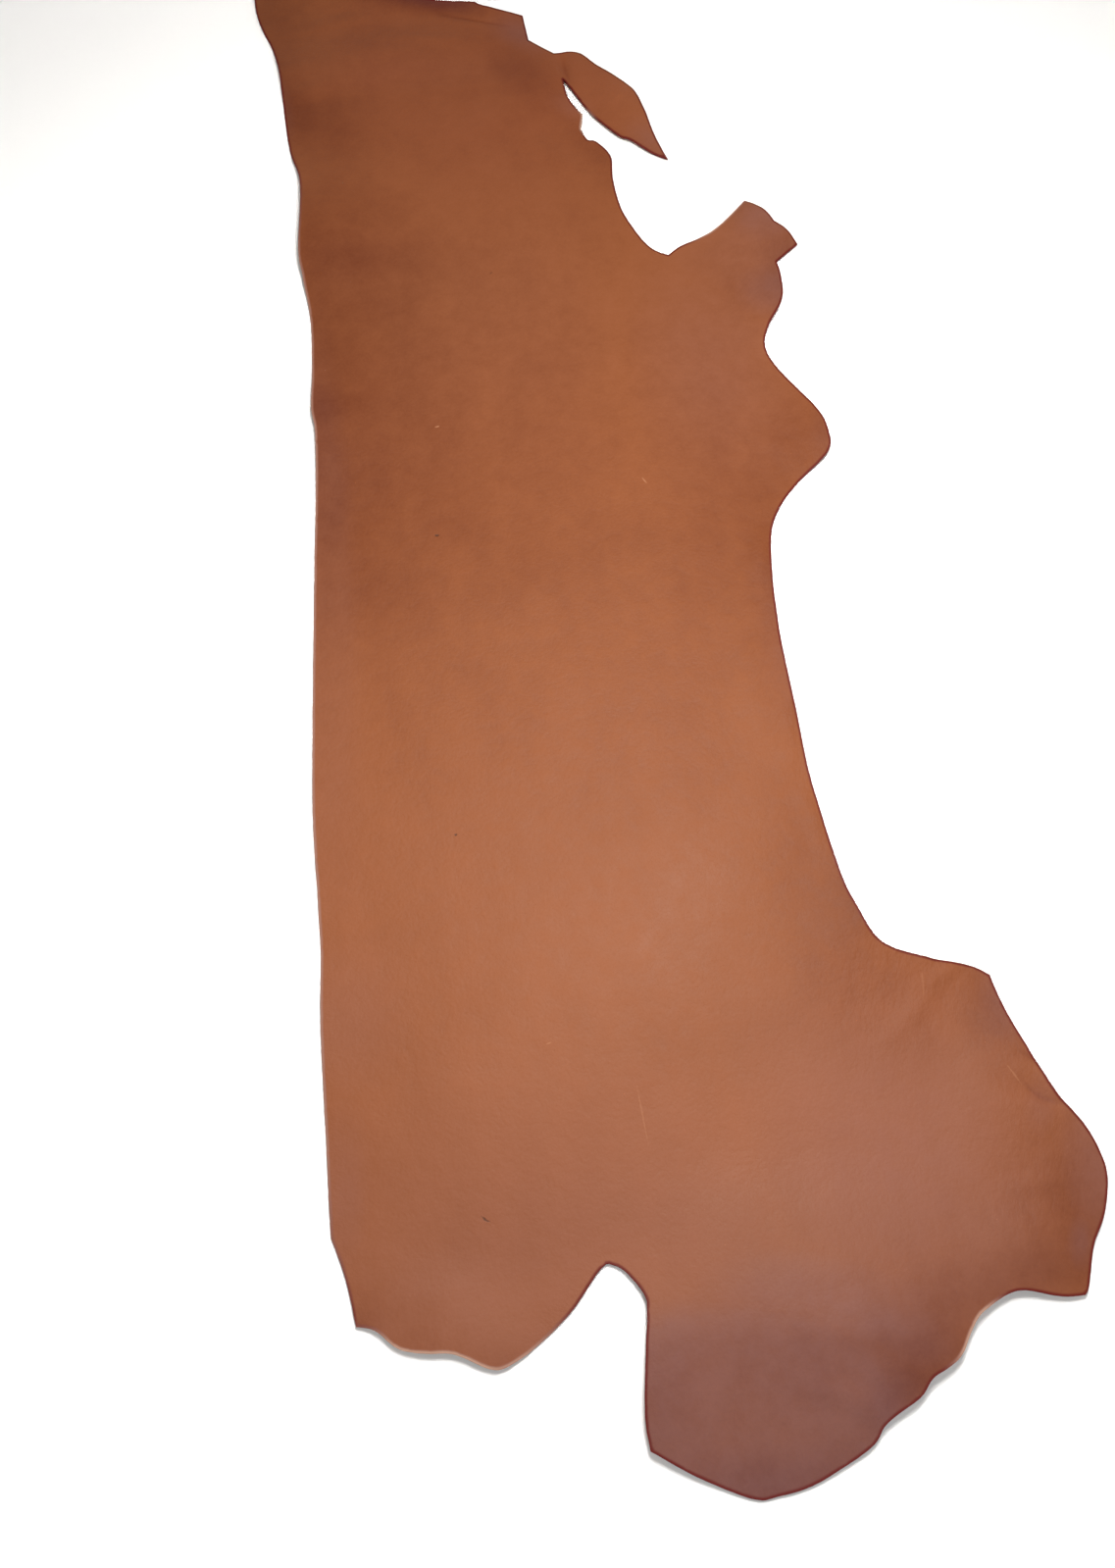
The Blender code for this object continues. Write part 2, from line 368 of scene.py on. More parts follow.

# Where a cool greyish sheen is painted on the grain, standing in for the reflection off parts that
# slope away, as on the thigh flap and the lower end: its share over the grain's own colour
PAINTED_SHEEN_PATCHES = {
    "neck edge by the backbone": Fold(-35, 2330, 95, 130, 40, 0.14),
    "neck end": Fold(280, 2600, -14, 140, 40, 0.15),
    "neck corner": Fold(440, 2490, -40, 100, 60, 0.24),
    "neck": Fold(200, 2410, 0, 320, 70, 0.03),
    "cheek's end": Fold(650, 2180, -60, 90, 60, 0.19),
    "light patch by the throat": Fold(510, 2285, -45, 60, 40, 0.12),
    "forward half": Fold(350, 1800, 90, 520, 420, 0.05),
    "backbone edge": Fold(20, 1300, 90, 700, 70, 0.07, 2.0),
    "backbone, lower": Fold(30, 610, 90, 170, 130, 0.10),
    "brisket": Fold(820, 1890, 80, 260, 320, 0.14),
    "brisket arm": Fold(830, 1980, 35, 140, 90, 0.32),
    "brisket edge": Fold(812, 1818, 85, 120, 120, 0.28),
    "shoulder side": Fold(690, 1690, 90, 370, 220, 0.13),
    "foreleg edge": Fold(850, 1500, 80, 100, 60, 0.09),
    "belly edge": Fold(720, 1120, 90, 200, 60, 0.10),
    # Painted sheen growing towards the lower end, where the cool window light is reflected
    "lower end": Fold(330, 130, 0, 760, 560, 0.165, 1.25),
    "backbone by the tail": Fold(20, 380, 90, 200, 70, 0.17),
    "haunch": Fold(730, 340, 0, 320, 400, 0.26),
    "flank edge": Fold(930, 570, 70, 130, 70, 0.24),
    "shank edge": Fold(990, 350, 82, 190, 84, 0.28),
    "shank by the crease": Fold(930, 415, 60, 100, 50, 0.18),
    "shank corner": Fold(938, 245, 70, 60, 30, 0.26),
    "thigh crest": Fold(600, 214, -8, 300, 96, 0.36),
    "thigh crest by the notch": Fold(640, 190, -20, 210, 84, 0.40),
    "thigh flap": Fold(480, 62, -4, 280, 218, 0.37, 3.6),
}

# Where the dye took redder: its share over the grain's own colour
REDDER = {
    "neck and shoulder": Fold(360, 2480, 90, 640, 560, 0.12, 1.5),
}

# Where the grain has more polish, as a drop in its roughness
POLISH = {
    "lower back": Fold(505, 720, 58, 190, 90, 0.035, 1.6),
    "butt": Fold(560, 360, 4, 200, 90, 0.05),
    "thigh crest": Fold(640, 200, -4, 300, 70, 0.05),
}

# Where the cut edge and the grain beside it catch the light
LIT_EDGES = {
    "backbone": Fold(0, 1180, 90, 1100, 60, 0.60, 4.0),
    "tail": Fold(140, 195, 0, 190, 60, 1.0, 1.6),
    "shank notch": Fold(778, 160, 46, 70, 40, 1.0, 1.6),
    "nick in the throat": Fold(526, 2246, 80, 40, 30, 1.0, 1.6),
    "brisket by the throat": Fold(745, 1978, 36, 90, 40, 0.8, 1.6),
}

# Where the hide is loose and its grain breaks into fine wrinkles
LOOSE = {
    "neck": Fold(180, 2560, -6, 420, 220, 0.8),
    "cheek": Fold(600, 2300, -60, 200, 110, 0.9),
    "throat": Fold(560, 2120, -70, 330, 130, 0.7),
    "brisket": Fold(800, 1880, 70, 260, 170, 1.0),
    "foreleg": Fold(820, 1510, 70, 200, 150, 0.9),
    "belly": Fold(720, 1050, 90, 420, 130, 0.8),
    "flank": Fold(800, 620, 50, 260, 170, 1.0),
    "shank": Fold(920, 380, 75, 280, 150, 0.9),
    "thigh flap": Fold(560, 90, -6, 330, 130, 0.6),
    "tail": Fold(140, 210, 0, 180, 70, 0.5),
}

# Small scars and scratches on the grain: sizes in millimetres, and "light" says how pale each is
Scar = namedtuple("Scar", "across along heading length width light")

SCARS = {
    "pale fleck": Scar(216, 1584, 10, 7, 3.4, 0.75),
    "dark fleck by the middle": Scar(202, 1374, 0, 7, 4.0, -0.8),
    "pale tick": Scar(540, 1445, 118, 13, 2.6, 0.6),
    "dark dot": Scar(197, 869, 0, 4.5, 4.0, -0.8),
    "dark tick": Scar(198, 345, -38, 13, 3.0, -0.7),
    "faint scratch": Scar(412, 458, 94, 74, 2.6, 0.22),
    "light streak by the shank crease": Scar(904, 457, -62, 28, 2.6, 0.28),
    "faint streak by the flank": Scar(812, 588, 82, 50, 2.4, 0.14),
    "fleck by the shoulder": Scar(330, 1900, 40, 9, 2.6, -0.35),
    "fleck by the butt": Scar(300, 560, 15, 7, 2.6, 0.35),
}

# How far the outline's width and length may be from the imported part's, in millimetres
OUTLINE_TOLERANCE = 3.0

# How long the knife's two kinds of straying are, in millimetres
KNIFE_SWEEP = 46.0
KNIFE_STEP = 9.0

# The shoulders beside a crease: where they stand and how wide they are, as shares of its width,
# and how high they are, as a share of its depth
SHOULDER_AWAY = 1.7
SHOULDER_WIDTH = 1.5
SHOULDER_RISE = 0.35

# The mesh is fine where the hide is this loose (a share), rippled (in millimetres) or creased (a
# share), and this near the cut (in millimetres)
LOOSE_ENOUGH = 0.42
RIPPLED_ENOUGH = 0.5
CREASED_ENOUGH = 0.02
NEAR_THE_CUT = 34.0

# No point of the mesh stands nearer the cut than this share of the fine pitch
CLEAR_OF_THE_CUT = 0.62

# The hide's unevenness: lengths and rises in millimetres, and shares of the whole
SWELL_LENGTH, SWELL_SHARE = 210.0, 0.62
RIPPLE_LENGTH, RIPPLE_SHARE, LOOSE_RIPPLE_SHARE = 64.0, 0.10, 0.34
WRINKLE_LENGTH, WRINKLE_RISE = 21.0, 0.34
EDGE_RIPPLE_LENGTH, EDGE_RIPPLE_REACH = 95.0, 24.0

# The line along the cut: full up to the first gap from it and gone at the second, in millimetres,
# and how strong it is where it's darker along the edge and where it catches the light, as a
# painted highlight
RIM_LINE = (1.6, 5.2)
RIM_DARKENING = 0.92
RIM_LIT = 0.80

# The grain's patches, wrinkles and pores: how long they are and how high, in metres
MOTTLE_SIZE, MOTTLE_RISE = 0.024, 0.0002
WRINKLE_SIZE, FINE_WRINKLE_RISE = 0.009, 0.0004
SPECK_SIZE = 0.005
PORE_SIZE = 0.0012

SCAR_DEPTH = 0.0003
PALE_SCAR = (0.55, 0.24, 0.12)
DARK_SCAR = (0.06, 0.02, 0.01)

# Order of the hide's materials
GRAIN, FLESH, CUT_EDGE = range(3)

# A lamp of the studio: where it stands, what it points at and the size of its face, in metres
Lamp = namedtuple("Lamp", "name place target size colour")

OVER_THE_HIDE = Lamp(
    name="lamp over the hide",
    place=(0.15, -0.05, 1.75),
    target=(0.05, -0.55, 0.0),
    size=(0.50, 0.75),
    colour=(1.0, 0.97, 0.93),
)
WINDOW = Lamp(
    name="window behind the camera",
    place=(0.55, -3.0, 2.2),
    target=(0.2, -1.1, 0.0),
    size=(2.4, 1.4),
    colour=(0.88, 0.93, 1.0),
)
ON_THE_FLOOR = Lamp(
    name="lamp on the floor beyond the neck",
    place=(0.1, 3.2, 2.4),
    target=(0.0, 1.5, 0.0),
    size=(4.0, 1.5),
    colour=(1.0, 0.98, 0.95),
)
ROOM_COLOUR = (1.0, 0.965, 0.90, 1.0)
FLOOR_HALF_WIDTH = 14.0

# The camera: its place over the floor and the nearest and farthest it sees, in metres, how far it
# turns from the backbone's direction, and its lens and sensor in millimetres
CAMERA_ACROSS = -0.1865
CAMERA_ALONG = -1.141
CAMERA_RANGE = (0.05, 60.0)
CAMERA_TURN = math.radians(-5.7255)
LEVEL = math.radians(90.0)
LENS_LENGTH = 29.94
SENSOR_WIDTH = 36.0


class LeatherSheet(bpy.types.PropertyGroup):
    """Sizes of the sheet of leather."""

    substance: FloatProperty(
        name="Substance",
        description="Thickness of the leather",
        default=0.003,
        min=0.001,
        max=0.006,
        subtype="DISTANCE",
        unit="LENGTH",
    )
    edge_rounding: FloatProperty(
        name="Edge Rounding",
        description="How far the cut edge is worn round at its two corners",
        default=0.0006,
        min=0.0001,
        max=0.0014,
        subtype="DISTANCE",
        unit="LENGTH",
    )
    fine_pitch: FloatProperty(
        name="Fine Pitch",
        description="Spacing of the mesh by the edges and in the loose parts",
        default=0.0053,
        min=0.004,
        max=0.02,
        subtype="DISTANCE",
        unit="LENGTH",
    )
    unevenness: FloatProperty(
        name="Unevenness",
        description="How far the hide swells off the ground where it has no fold",
        default=0.0022,
        min=0.0,
        max=0.006,
        subtype="DISTANCE",
        unit="LENGTH",
    )
    edge_waver: FloatProperty(
        name="Edge Waver",
        description="How far the knife strayed from a smooth line",
        default=0.0006,
        min=0.0,
        max=0.003,
        subtype="DISTANCE",
        unit="LENGTH",
    )
    edge_ripple: FloatProperty(
        name="Edge Ripple",
        description="How high the free edge stands up between the places where it lies flat",
        default=0.0034,
        min=0.0,
        max=0.01,
        subtype="DISTANCE",
        unit="LENGTH",
    )


class LeatherFinish(bpy.types.PropertyGroup):
    """Colours and finish of the leather."""

    grain: FloatVectorProperty(
        name="Grain",
        description="Main colour of the grain side",
        default=(0.307, 0.088, 0.0245),
        min=0.0,
        max=1.0,
        subtype="COLOR",
    )
    grain_dark: FloatVectorProperty(
        name="Dark Grain",
        description="Colour where the grain took more dye",
        default=(0.14, 0.023, 0.002),
        min=0.0,
        max=1.0,
        subtype="COLOR",
    )
    grain_light: FloatVectorProperty(
        name="Light Grain",
        description="Colour where the grain is palest",
        default=(0.42, 0.135, 0.052),
        min=0.0,
        max=1.0,
        subtype="COLOR",
    )
    red_dye: FloatVectorProperty(
        name="Red Dye",
        description="Colour that the grain leans to where the dye took redder",
        default=(0.30, 0.03, 0.03),
        min=0.0,
        max=1.0,
        subtype="COLOR",
    )
    # Painted reflection: the cool greyish sheen laid into the grain's colour
    painted_sheen: FloatVectorProperty(
        name="Painted Sheen",
        description="Colour of the cool sheen painted on the grain in places",
        default=(0.23, 0.13, 0.15),
        min=0.0,
        max=1.0,
        subtype="COLOR",
    )
    flesh: FloatVectorProperty(
        name="Flesh Side",
        description="Colour of the napped flesh side",
        default=(0.43, 0.215, 0.115),
        min=0.0,
        max=1.0,
        subtype="COLOR",
    )
    cut_edge: FloatVectorProperty(
        name="Cut Edge",
        description="Colour of the cut edge, where dye has soaked in",
        default=(0.135, 0.002, 0.0),
        min=0.0,
        max=1.0,
        subtype="COLOR",
    )
    # Partly the pale raw fibres and partly a painted highlight: laid on only where the edge
    # catches the light
    raw_edge_highlight: FloatVectorProperty(
        name="Raw Edge Highlight",
        description="Colour of the cut edge where its pale fibres show",
        default=(0.60, 0.36, 0.26),
        min=0.0,
        max=1.0,
        subtype="COLOR",
    )
    roughness: FloatProperty(
        name="Roughness",
        description="How dull the satin grain is",
        default=0.56,
        min=0.2,
        max=1.0,
        subtype="FACTOR",
    )
    pore_depth: FloatProperty(
        name="Pore Depth",
        description="Depth of the pores and fine wrinkles in the grain",
        default=0.00012,
        min=0.0,
        max=0.001,
        subtype="DISTANCE",
        unit="LENGTH",
    )


class LeatherStudio(bpy.types.PropertyGroup):
    """Camera, lamps and floor."""

    eye_height: FloatProperty(
        name="Eye Height",
        description="Height of the camera over the floor",
        default=1.74,
        min=0.5,
        max=4.0,
        subtype="DISTANCE",
        unit="LENGTH",
    )
    down_angle: FloatProperty(
        name="Down Angle",
        description="How far below level the camera looks",
        default=math.radians(67.0),
        min=math.radians(20.0),
        max=math.radians(90.0),
        subtype="ANGLE",
        unit="ROTATION",
    )
    floor: FloatVectorProperty(
        name="Floor",
        description="Colour of the plain floor",
        default=(0.955, 0.96, 0.97),
        min=0.0,
        max=1.0,
        subtype="COLOR",
    )
    room_light: FloatProperty(
        name="Room Light",
        description="Brightness of the even light from all round",
        default=0.38,
        min=0.0,
        max=3.0,
    )
    lamp_power: FloatProperty(
        name="Lamp Power",
        description="Power of the soft lamp over the hide",
        default=29.0,
        min=0.0,
        max=500.0,
        subtype="POWER",
        unit="POWER",
    )
    window_power: FloatProperty(
        name="Window Power",
        description="Power of the cool window light from behind the camera",
        default=20.0,
        min=0.0,
        max=500.0,
        subtype="POWER",
        unit="POWER",
    )
    floor_power: FloatProperty(
        name="Floor Lamp Power",
        description="Power of the lamp that evens out the floor beyond the neck",
        default=24.0,
        min=0.0,
        max=500.0,
        subtype="POWER",
        unit="POWER",
    )


def curve_point(before, start, end, after, share):
    """A point between start and end, on the smooth curve that also heeds its neighbours."""
    square = share * share
    cube = square * share
    return 0.5 * (
        2 * start
        + (end - before) * share
        + (2 * before - 5 * start + 4 * end - after) * square
        + (3 * start - before - 3 * end + after) * cube
    )


def neighbour(marks, index, step):
    """The point beside a mark that bends the curve there: a corner doesn't look past itself."""
    mark = marks[index]
    if mark.turn == ROUND:
        mark = marks[(index + step) % len(marks)]
    return Vector((mark.across, mark.along))


def rim_points(marks, longest_step):
    """The cut edge as a closed ring of points, in millimetres, from one mark to the next."""
    ring = []
    for index, mark in enumerate(marks):
        following = (index + 1) % len(marks)
        start = Vector((mark.across, mark.along))
        end = Vector((marks[following].across, marks[following].along))
        before = neighbour(marks, index, -1)
        after = neighbour(marks, following, 1)
        steps = max(1, round((end - start).length / longest_step))
        for step in range(steps):
            ring.append(curve_point(before, start, end, after, step / steps))
    return ring


def span_of(ring):
    """The lowest and the highest corner of the rectangle that the cut edge just fits."""
    edge = np.array([tuple(point) for point in ring])
    return edge.min(axis=0), edge.max(axis=0)


def check_outline(found):
    """Stops the work if the outline isn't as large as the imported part."""
    low, high = NODE_BOX
    wanted = np.array((high - low)[:2]) / MM
    if np.abs(found - wanted).max() > OUTLINE_TOLERANCE:
        raise ValueError(f"the outline is {found} mm and the packed hide is {wanted} mm")


def hand_cut(ring, waver):
    """The ring as a knife leaves it: it strays a little, in long sweeps and short steps."""
    cut = []
    for index, point in enumerate(ring):
        run = ring[(index + 1) % len(ring)] - ring[index - 1]
        outwards = Vector((run.y, -run.x)).normalized()
        long_sweep = noise.noise(Vector((point.x, point.y, 5.0)) / KNIFE_SWEEP)
        short_step = noise.noise(Vector((point.x, point.y, 90.0)) / KNIFE_STEP)
        cut.append(point + outwards * waver * (0.8 * long_sweep + 0.55 * short_step))
    return cut


def swell(share):
    """A soft bump: 1 in its middle, and level where it runs out at a share of 1."""
    return 0.5 + 0.5 * np.cos(np.pi * np.clip(np.abs(share), 0.0, 1.0))


def ovals(table, places):
    """The sum of a table's soft ovals at each place."""
    total = np.zeros(len(places))
    for oval in table.values():
        turn = math.radians(oval.heading)
        away = places - np.array((oval.across, oval.along))
        lengthways = away[:, 0] * math.cos(turn) + away[:, 1] * math.sin(turn)
        sideways = away[:, 1] * math.cos(turn) - away[:, 0] * math.sin(turn)
        share = swell(lengthways / oval.reach) * swell(sideways / oval.spread)
        total += oval.rise * np.minimum(oval.crown * share, 1.0)
    return total


def widest(table, places):
    """The strongest of a table's soft ovals at each place."""
    best = np.zeros(len(places))
    for name in table:
        best = np.maximum(best, ovals({name: table[name]}, places))
    return best


def groove_share(groove, places):
    """How deep in a crease each place is: 1 at its bottom, below 0 on the shoulders beside it."""
    line = np.array(groove.line, float)
    runs = np.linalg.norm(np.diff(line, axis=0), axis=1)
    whole = runs.sum()
    passed = 0.0
    nearest = np.full(len(places), np.inf)
    share = np.zeros(len(places))
    for start, end, run in zip(line, line[1:], runs):
        step = (end - start) / run
        reach = np.clip((places - start) @ step, 0.0, run)
        gap = np.linalg.norm(places - start - reach[:, None] * step, axis=1)
        closer = gap < nearest
        nearest = np.where(closer, gap, nearest)
        share = np.where(closer, (passed + reach) / whole, share)
        passed += run
    fade = np.sin(np.pi * np.clip(0.06 + 0.88 * share, 0.0, 1.0))
    trough = swell(nearest / groove.width)
    shoulder = swell((nearest - SHOULDER_AWAY * groove.width) / (SHOULDER_WIDTH * groove.width))
    return fade * (trough - SHOULDER_RISE * shoulder)


def grooves_at(places):
    """Depth of the creases at each place, in millimetres, and how creased the grain is."""
    depth = np.zeros(len(places))
    creased = np.zeros(len(places))
    for groove in GROOVES.values():
        share = groove_share(groove, places)
        depth += groove.depth * share
        creased = np.maximum(creased, share)
    return depth, creased


def clouds(places, size, seed, octaves=2):
    """Uneven values from -1 to 1 at each place, with swells about so many millimetres long."""
    fade, spacing = 0.9, 2.1
    return np.array(
        [
            noise.fractal(Vector((x / size, y / size, seed)), fade, spacing, octaves)
            for x, y in places
        ]
    )


def sheet_heights(places, rim_gap, sheet):
    """How far the flesh side stands off the ground, in millimetres, and how creased it is."""
    loose = widest(LOOSE, places)
    depth, creased = grooves_at(places)
    height = ovals(FOLDS, places) + ovals(RIPPLES, places) - depth
    rolling = 0.5 + 0.5 * np.clip(1.5 * clouds(places, SWELL_LENGTH, 3.0), -1.0, 1.0)
    rippled = np.clip(clouds(places, RIPPLE_LENGTH, 17.0), -1.0, 1.0)
    ripple_share = RIPPLE_SHARE + LOOSE_RIPPLE_SHARE * loose
    height += sheet.unevenness / MM * (SWELL_SHARE * rolling + ripple_share * rippled)
    wrinkled = np.clip(clouds(places, WRINKLE_LENGTH, 40.0, 3), -1.0, 1.0)
    height += WRINKLE_RISE * loose * wrinkled
    free_edge = np.clip(clouds(places, EDGE_RIPPLE_LENGTH, 60.0), -0.25, 1.0) + 0.25
    near_edge = np.exp(-rim_gap / EDGE_RIPPLE_REACH)
    height += sheet.edge_ripple / MM * free_edge * near_edge * (0.4 + loose)
    return np.maximum(height, 0.0), creased, loose


def dye_clouds(places):
    """Soft uneven patches of darker and lighter grain, from -1 to 1, drawn out along the back."""
    along_back = places * np.array((1.0, 0.34))
    broad = clouds(places, 290.0, 71.0)
    patches = clouds(places, 88.0, 82.0, 3)
    drawn = clouds(along_back, 46.0, 93.0, 3)
    return 0.08 * broad + 0.08 * patches + 0.07 * drawn


def grid_places(ring, pitch):
    """A triangular grid of places in the ring, and which of them a coarser grid has too."""
    edge = np.array([tuple(point) for point in ring])
    following = np.roll(edge, -1, axis=0)
    low, high = span_of(ring)
    row_height = pitch * math.sqrt(3) / 2
    places = []
    coarse = []
    for row in range(int((high[1] - low[1]) / row_height) + 1):
        along = low[1] + (row + 0.37) * row_height
        crossed = (edge[:, 1] > along) != (following[:, 1] > along)
        start, end = edge[crossed], following[crossed]
        share = (along - start[:, 1]) / (end[:, 1] - start[:, 1])
        crossings = np.sort(start[:, 0] + share * (end[:, 0] - start[:, 0]))
        columns = np.arange(int((high[0] - low[0]) / pitch) + 2)
        across = low[0] + (columns + 0.5 * (row % 2)) * pitch
        inside = np.searchsorted(crossings, across) % 2 == 1
        kept = (row % 2 == 0) & ((columns + row // 2) % 2 == 0)
        places.append(np.column_stack((across[inside], np.full(inside.sum(), along))))
        coarse.append(kept[inside])
    return np.concatenate(places), np.concatenate(coarse)


def gaps_to(ring, places):
    """How far each place is from the nearest point of the cut edge, in millimetres."""
    tree = kdtree.KDTree(len(ring))
    for index, point in enumerate(ring):
        tree.insert((point.x, point.y, 0.0), index)
    tree.balance()
    return np.array([tree.find((x, y, 0.0))[2] for x, y in places])


def field_places(ring, pitch):
    """Places for the mesh's points: close by the edges, folds and creases, and wider between."""
    places, coarse = grid_places(ring, pitch)
    gap = gaps_to(ring, places)
    detailed = widest(LOOSE, places) > LOOSE_ENOUGH
    detailed |= np.abs(ovals(RIPPLES, places)) > RIPPLED_ENOUGH
    detailed |= grooves_at(places)[1] > CREASED_ENOUGH
    detailed |= gap < NEAR_THE_CUT
    kept = (gap > CLEAR_OF_THE_CUT * pitch) & (coarse | detailed)
    return places[kept]


def flesh_side(sheet):
    """The underside of the hide as a triangle mesh, with what its material needs at each point."""
    pitch = sheet.fine_pitch / MM
    true_ring = rim_points(OUTLINE, 0.9 * pitch)
    low, high = span_of(true_ring)
    check_outline(high - low)
    middle = (low + high) / 2
    ring = hand_cut(true_ring, sheet.edge_waver / MM)
    field = field_places(ring, pitch)
    points = ring + [Vector(place) for place in field]
    edges = [(index, (index + 1) % len(ring)) for index in range(len(ring))]
    inside_only, same_place = 1, 1e-6
    corners, _, triangles, *_ = delaunay_2d_cdt(points, edges, [], inside_only, same_place)
    places = np.array([tuple(point) for point in corners])
    rim_gap = gaps_to(ring, places)
    height, creased, loose = sheet_heights(places, rim_gap, sheet)
    vertices = np.column_stack(((places - middle) * MM, height * MM))
    mesh = bpy.data.meshes.new("side_of_leather")
    mesh.from_pydata(vertices.tolist(), [], triangles)
    values = {
        "rim_gap": rim_gap,
        "creased": np.clip(creased, 0.0, 1.0),
        "loose": loose,
        # The tone carries painted shade and painted highlight as well as the uneven dye
        "tone_and_painted_light": ovals(TONES_AND_PAINTED_LIGHT, places) + dye_clouds(places),
        "redder": widest(REDDER, places),
        # A cool sheen painted into the colour, standing in for reflection
        "painted_sheen": widest(PAINTED_SHEEN_PATCHES, places),
        "polish": ovals(POLISH, places),
        "lit_edge": np.clip(ovals(LIT_EDGES, places), 0.0, 1.0),
    }
    for name, value in values.items():
        mesh.attributes.new(name, "FLOAT", "POINT").data.foreach_set("value", value)
    mesh.validate()
    return mesh, middle


class Shader:
    """A material's nodes, added one by one."""

    def __init__(self, name):
        self.material = bpy.data.materials.new(name)
        self.material.use_nodes = True
        self.tree = self.material.node_tree
        self.surface = self.tree.nodes["Principled BSDF"]
        self.places = self.add("ShaderNodeTexCoord").outputs["Object"]

    def add(self, kind, **settings):
        node = self.tree.nodes.new(kind)
        for name, value in settings.items():
            setattr(node, name, value)
        return node

    def put(self, socket, value):
        """Gives a socket a number, a colour or what another node sends out."""
        if isinstance(value, bpy.types.NodeSocket):
            self.tree.links.new(value, socket)
        else:
            socket.default_value = value

    def attribute(self, name):
        return self.add("ShaderNodeAttribute", attribute_name=name).outputs["Fac"]

    def maths(self, operation, first, second=0.0, clamp=False):
        node = self.add("ShaderNodeMath", operation=operation, use_clamp=clamp)
        self.put(node.inputs[0], first)
        self.put(node.inputs[1], second)
        return node.outputs[0]

    def noise(self, size, detail=2.0, roughness=0.5, distortion=0.0, places=None):
        """Uneven values about 0, from -1 to 1, whose patches are about so many metres long."""
        node = self.add("ShaderNodeTexNoise", normalize=False)
        self.put(node.inputs["Vector"], places or self.places)
        self.put(node.inputs["Scale"], 1.0 / size)
        self.put(node.inputs["Detail"], detail)
        self.put(node.inputs["Roughness"], roughness)
        self.put(node.inputs["Distortion"], distortion)
        return node.outputs[0]

    def cells(self, size):
        """Distance from the nearest middle of uneven cells about so many metres wide."""
        node = self.add("ShaderNodeTexVoronoi")
        self.put(node.inputs["Vector"], self.places)
        self.put(node.inputs["Scale"], 1.0 / size)
        return node.outputs["Distance"]

    def stretched(self, scale, turn=0.0, place=(0.0, 0.0, 0.0)):
        """Places measured from a middle, along a turned direction, in lengths of its own."""
        node = self.add("ShaderNodeMapping", vector_type="TEXTURE")
        self.put(node.inputs["Vector"], self.places)
        self.put(node.inputs["Location"], place)
        self.put(node.inputs["Rotation"], (0.0, 0.0, turn))
        self.put(node.inputs["Scale"], scale)
        return node.outputs[0]

    def fitted(self, value, low, high, to_low=0.0, to_high=1.0):
        """The value with its range from low to high eased over another range, and held there."""
        node = self.add("ShaderNodeMapRange", interpolation_type="SMOOTHSTEP")
        for socket, number in zip(node.inputs, (value, low, high, to_low, to_high)):
            self.put(socket, number)
        return node.outputs[0]

    def blend(self, share, first, second):
        node = self.add("ShaderNodeMix", data_type="RGBA")
        self.put(node.inputs["Factor"], share)
        self.put(node.inputs["A"], self.colour(first))
        self.put(node.inputs["B"], self.colour(second))
        return node.outputs["Result"]

    def colour(self, value):
        if isinstance(value, bpy.types.NodeSocket):
            return value
        return (*value, 1.0)

    def bump(self, height, distance, under=None):
        """Relief as high as the distance where the height is 1, on top of other relief."""
        node = self.add("ShaderNodeBump")
        self.put(node.inputs["Height"], height)
        self.put(node.inputs["Distance"], distance)
        if under is not None:
            self.put(node.inputs["Normal"], under)
        return node.outputs[0]

    def weighted(self, *parts):
        """The sum of values, each with its weight."""
        total = 0.0
        for value, weight in parts:
            total = self.maths("ADD", total, self.maths("MULTIPLY", value, weight))
        return total

    def set_surface(self, name, value):
        """Gives the surface a number, a colour or what a node sends out."""
        self.put(self.surface.inputs[name], value)


def scars_on(shader, middle):
    """Two values: how pale and how dark the small scars and scratches make the grain."""
    pale, dark = 0.0, 0.0
    ragged = shader.noise(0.004)
    for scar in SCARS.values():
        place = ((scar.across - middle[0]) * MM, (scar.along - middle[1]) * MM, 0.0)
        size = (scar.length / 2 * MM, scar.width / 2 * MM, 1.0)
        own = shader.stretched(size, math.radians(scar.heading), place)
        reach = shader.add("ShaderNodeVectorMath", operation="LENGTH")
        shader.put(reach.inputs[0], own)
        edge = shader.weighted((reach.outputs["Value"], 1.0), (ragged, 0.5))
        mask = shader.fitted(edge, 1.3, 0.4, 0.0, abs(scar.light))
        if scar.light > 0:
            pale = shader.maths("MAXIMUM", pale, mask)
        else:
            dark = shader.maths("MAXIMUM", dark, mask)
    return pale, dark


